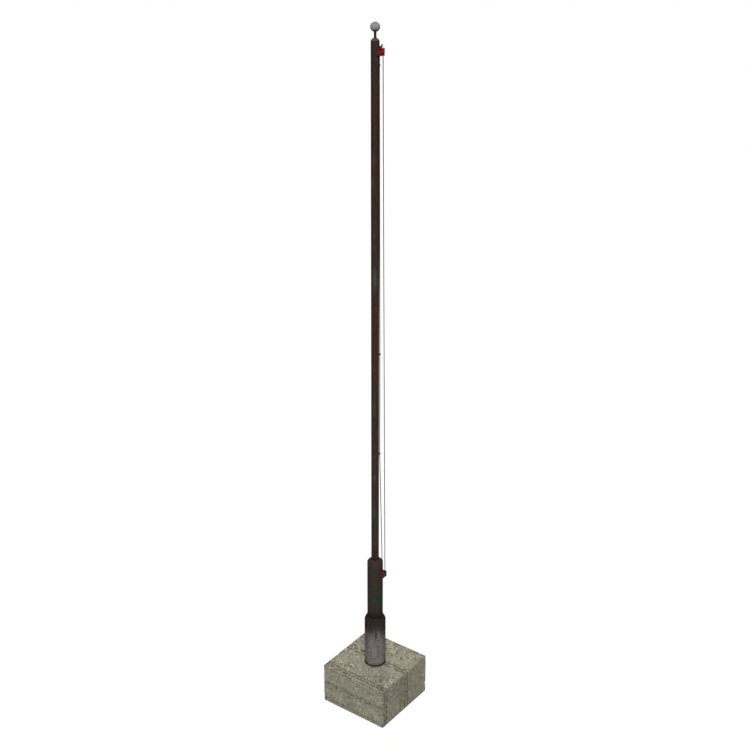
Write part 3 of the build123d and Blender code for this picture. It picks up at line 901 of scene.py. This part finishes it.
def wear_depth(place, faces_front):
    """How far weather has eaten into the block at a place on its surface."""
    x, y, z = place
    # A place on the surface is 0 from one face, and this far from the next: the nearest arris.
    to_arris = sorted((BLOCK_HIGH.x - abs(x), BLOCK_HIGH.y - abs(y), BLOCK_HIGH.z - z))[1]
    depth = UNEVENNESS * (1 + noise.noise(place * 7)) + GRAIN_DEPTH * (1 + noise.noise(place * 60))
    depth += fading(to_arris, ARRIS_REACH) * (ARRIS_WEAR + ARRIS_UNEVENNESS * noise.noise(place * 25))
    chips = noise.noise(place * 13 + Vector((5, 2, 8))) + 0.5 * noise.noise(place * 41)
    chipped = min(1.0, max(0.0, chips - CHIP_RARITY) * 2.5)
    depth += CHIP_DEPTH * chipped * fading(to_arris, CHIP_REACH)
    from_pit = noise.voronoi(place * 26)[0][0]
    pitted = max(0.0, noise.noise(place * 9 + Vector((3, 3, 3))))
    depth += PIT_DEPTH * pitted * fading(from_pit, PIT_RADIUS)
    if faces_front:
        to_joint = min(abs(z - height) for height in JOINTS_Z)
    else:
        to_joint = min(abs(y - joint) for joint in JOINTS_Y)
    return depth + JOINT_DEPTH * fading(to_joint, JOINT_REACH)


def weathered_block():
    """The block with worn arrises, chips, pits and joints, and the sleeve's socket in it."""
    block = bmesh.new()
    bmesh.ops.create_cube(block, size=1.0)
    bmesh.ops.subdivide_edges(block, edges=block.edges, cuts=BLOCK_CUTS, use_grid_fill=True)
    size = BLOCK_HIGH - BLOCK_LOW
    for vertex in block.verts:
        shares = [crowded(share + 0.5) for share in vertex.co]
        vertex.co = BLOCK_LOW + Vector(share * side for share, side in zip(shares, size))
    block.normal_update()

    in_socket = []
    for face in block.faces:
        over_socket = all(hypot(vertex.co.x, vertex.co.y) < SOCKET_RADIUS for vertex in face.verts)
        if over_socket and face.normal.z > 0.5:
            in_socket.append(face)
    bmesh.ops.delete(block, geom=in_socket, context="FACES")
    rim = [edge for edge in block.edges if edge.is_boundary]
    rim_vertices = {vertex for edge in rim for vertex in edge.verts}
    for vertex in block.verts:
        if vertex in rim_vertices:
            vertex.co.xy = vertex.co.xy.normalized() * SOCKET_RADIUS
            continue
        move = vertex.normal * wear_depth(vertex.co, vertex.normal.y < -0.7)
        if vertex.co.z < 1e-6:
            move.z = 0.0
        vertex.co -= move

    wall = bmesh.ops.extrude_edge_only(block, edges=rim)["geom"]
    for part in wall:
        if isinstance(part, bmesh.types.BMVert):
            part.co.z = BLOCK_HIGH.z - SOCKET_DEPTH
    floor = [part for part in wall if isinstance(part, bmesh.types.BMEdge) and part.is_boundary]
    bmesh.ops.holes_fill(block, edges=floor)
    bmesh.ops.recalc_face_normals(block, faces=block.faces)
    mesh = bpy.data.meshes.new("weathered_block")
    block.to_mesh(mesh)
    block.free()
    shape = piece("weathered_block", mesh, concrete())
    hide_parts("concrete_block")


# ---------------------------------------------------------------- joints, welds and fasteners

# Section of a fillet of mastic: out from the tube as a share of its width, up as one of its rise
FILLET = [
    (-0.1, -0.4),
    (1.0, -0.4),
    (1.0, 0.0),
    (0.66, 0.12),
    (0.38, 0.32),
    (0.16, 0.62),
    (0.0, 1.0),
    (-0.1, 1.0),
]
SEAL_SIDES = 144
SEAL_UNEVENNESS = 0.3


def seal(name, radius, height, width, rise, material):
    """Uneven fillet of mastic in the corner round a tube that comes out of something wider."""
    rings = []
    for around in turns(SEAL_SIDES):
        outward = Vector((cos(around), sin(around), 0))
        uneven = 1 + SEAL_UNEVENNESS * noise.noise(outward * 7 + Vector((0, 0, height)))
        ring = []
        for out, up in FILLET:
            level = Vector((0, 0, height + rise * uneven * up))
            ring.append(outward * (radius + width * uneven * out) + level)
        rings.append(ring)
    piece(name, skin(rings, closed=True), material)


RIPPLE_STEP = 0.0017  # from one point of a bead's line to the next
RIPPLE = 0.12  # height of the ripples, as a share of the bead's radius
BEAD_UNEVENNESS = 0.1
BEAD_SIDES = 8
BEAD_INSET = 0.003  # from the end of a corner to the end of the bead in it
# Radii of the beads at a cheek, round a bar and on the top plate
CHEEK_BEAD = 0.0026
STUB_BEAD = 0.0018
SEAT_BEAD = 0.0034
# Their middle lines lie this far off the surfaces that they join
CHEEK_BEAD_OFF_TUBE = 0.0008
STUB_BEAD_OFF_TUBE = 0.0006
STUB_BEAD_OFF_BAR = 0.0008
SEAT_BEAD_OFF_PLATE = 0.0014


def weld_bead(name, line, radius, closed, material):
    """Rippled weld bead along a line of points that are a third of a ripple apart. An open one
    tapers at its ends."""
    last = len(line) - 1
    rings = []
    for index, centre in enumerate(line):
        before = line[index - 1] if closed or index > 0 else line[0]
        after = line[(index + 1) % len(line)] if closed or index < last else line[last]
        along = (after - before).normalized()
        across = along.cross(Vector((1, 0, 0))).normalized()
        other = along.cross(across)
        swell = 1 + RIPPLE * sin(index * 2 * pi / 3) + BEAD_UNEVENNESS * noise.noise(centre * 120)
        if not closed:
            swell *= min(1.0, 0.3 + index / 4, 0.3 + (last - index) / 4)
        ring = []
        for turn in turns(BEAD_SIDES):
            ring.append(centre + (across * cos(turn) + other * sin(turn)) * radius * swell)
        rings.append(ring)
    piece(name, skin(rings, closed=closed), material)


def cheek_weld(name, tube_radius, cheek, material):
    """Weld up the corner between a pulley block's cheek and the tube that carries it."""
    low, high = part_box(cheek)
    outer_y = low.y if low.y + high.y < 0 else high.y
    x = sqrt(tube_radius**2 - outer_y**2) + CHEEK_BEAD_OFF_TUBE
    y = outer_y * 1.012  # just outside the cheek
    count = int((high.z - low.z - 2 * BEAD_INSET) / RIPPLE_STEP)
    line = [Vector((x, y, low.z + BEAD_INSET + RIPPLE_STEP * step)) for step in range(count)]
    weld_bead(name, line, CHEEK_BEAD, False, material)


def stub_weld(name, bar_radius, height, material):
    """Weld round a bar where it comes out of the pole along +X."""
    ring_radius = bar_radius + STUB_BEAD_OFF_BAR
    count = int(2 * pi * ring_radius / RIPPLE_STEP / 3) * 3
    line = []
    for turn in turns(count):
        y = ring_radius * cos(turn)
        x = sqrt(POLE_RADIUS**2 - y**2) + STUB_BEAD_OFF_TUBE
        line.append(Vector((x, y, height + ring_radius * sin(turn))))
    weld_bead(name, line, STUB_BEAD, True, material)


HOOK_BAR_RADIUS = 0.008
SEAT_WELD_LENGTH = 0.017
SEAT_WELD_ASIDE = 0.0068  # from the middle of the bar


def hook_welds(material):
    """Welds round the hook's bar at the pole, and on both sides of it on the top plate."""
    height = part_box("head_top_plate")[1].z + SEAT_BEAD_OFF_PLATE
    bar_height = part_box("head_hook")[0].z + HOOK_BAR_RADIUS
    stub_weld("hook_weld", HOOK_BAR_RADIUS, bar_height, material)
    start = POLE_RADIUS + BEAD_INSET
    count = int(SEAT_WELD_LENGTH / RIPPLE_STEP)
    for side, y in (("left", -SEAT_WELD_ASIDE), ("right", SEAT_WELD_ASIDE)):
        line = [Vector((start + RIPPLE_STEP * step, y, height)) for step in range(count)]
        weld_bead("hook_seat_weld_" + side, line, SEAT_BEAD, False, material)


GUIDE_STEM_RADIUS = 0.0045
AXLE_HOLE = 0.00605  # radius
COLLAR_SIDES = 48
# Washer and nut: distance from the cheek, half width, and 1 for a round outline or 0 for a hexagon
WASHER = [(0.0001, 0.0117, 1), (0.0004, 0.0120, 1), (0.0019, 0.0120, 1), (0.0022, 0.0117, 1)]
NUT = [(0.0023, 0.0092, 1), (0.0032, 0.0095, 0), (0.0080, 0.0095, 0), (0.0089, 0.0092, 1)]


def collar(name, centre, outline, material):
    """Washer or nut round an axle along +Y."""
    rings = []
    for away, half_width, roundness in outline:
        ring = []
        for around in turns(COLLAR_SIDES):
            from_flat = around % (pi / 3) - pi / 6
            out = half_width / cos(from_flat) * (1 - roundness) + half_width * roundness
            ring.append(centre + Vector((out * cos(around), away, out * sin(around))))
        rings.append(ring)
    for away in (outline[-1][0], outline[0][0]):
        ring = []
        for around in turns(COLLAR_SIDES):
            ring.append(centre + Vector((AXLE_HOLE * cos(around), away, AXLE_HOLE * sin(around))))
        rings.append(ring)
    piece(name, skin(rings, closed=True), material, smooth=False)


def axle_fasteners(block, material):
    """Washer and nut on the tail of a pulley block's axle, outside its right cheek."""
    low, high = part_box(block + "_axle")
    cheek_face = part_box(block + "_cheek_right")[1].y
    centre = Vector(((low.x + high.x) / 2, cheek_face, (low.z + high.z) / 2))
    collar(block + "_washer", centre, WASHER, material)
    collar(block + "_nut", centre, NUT, material)


def joints_and_welds():
    """Everything that seals or fastens one CAD piece to the next."""
    mastic = sealant()
    rusty = bare_steel("weld_metal", srgb(58, 42, 34), srgb(84, 60, 48))
    seal("block_seal", SLEEVE_RADIUS, BLOCK_HIGH.z, 0.004, 0.005, mastic)
    seal("sleeve_mouth_seal", MIDDLE_RADIUS, SLEEVE_MOUTH, 0.002, 0.003, mastic)
    seal("middle_mouth_seal", POLE_RADIUS, MIDDLE_MOUTH, 0.003, 0.0035, mastic)
    for side in ("left", "right"):
        cheek_weld("head_weld_" + side, POLE_RADIUS, "head_cheek_" + side, rusty)
        cheek_weld("foot_weld_" + side, MIDDLE_RADIUS, "foot_cheek_" + side, rusty)
    for guide in ("top", "middle", "lower"):
        low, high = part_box("halyard_guide_" + guide)
        stub_weld("guide_weld_" + guide, GUIDE_STEM_RADIUS, (low.z + high.z) / 2, rusty)
    hook_welds(rusty)
    axle_fasteners("head", rusty)
    axle_fasteners("foot", rusty)


# ---------------------------------------------------------------- the whole scene

add_camera()
halyard()
weathered_block()
joints_and_welds()

paint(galvanised_steel(), "base_sleeve")
paint(painted_steel(), "middle_tube", "upper_pole")
paint(faded_paint(), "top_cap")
paint(
    red_paint("red_paint", "head", srgb(124, 12, 24), srgb(102, 17, 24), 0.35),
    "head_cheek_left",
    "head_cheek_right",
    "head_top_plate",
)
paint(
    red_paint("worn_red_paint", "foot", srgb(84, 33, 34), srgb(66, 32, 31), 0.6),
    "foot_cheek_left",
    "foot_cheek_right",
    "foot_bottom_plate",
)
paint(bare_steel("blackened_steel", srgb(30, 26, 25), srgb(48, 41, 39)), "finial_spindle")
paint(bare_steel("rusty_hook", srgb(46, 26, 21), srgb(70, 40, 33)), "head_hook")
paint(bare_steel("rubbed_red_steel", srgb(116, 46, 44), srgb(146, 66, 62)), "head_axle")
paint(
    bare_steel("bare_steel", srgb(54, 38, 31), srgb(84, 56, 46)),
    "foot_axle",
    "sleeve_foot_plate",
    "middle_centring_ring",
    "pole_seat",
)
paint(ball_metal(), "finial_ball")
paint(cast_iron("sheave_iron", srgb(82, 56, 49), srgb(126, 92, 81)), "head_sheave", "foot_sheave")
paint(
    cast_iron("guide_iron", srgb(34, 31, 29), srgb(56, 50, 46)),
    "halyard_guide_top",
    "halyard_guide_middle",
    "halyard_guide_lower",
)
paint(cast_iron("ferrule_metal", srgb(60, 57, 54), srgb(92, 88, 84)), "halyard_ferrule")

add_sun("key", *KEY_SUN)
add_sun("back", *BACK_SUN)
add_sky()
add_floor()
bpy.context.scene.view_settings.view_transform = "Standard"
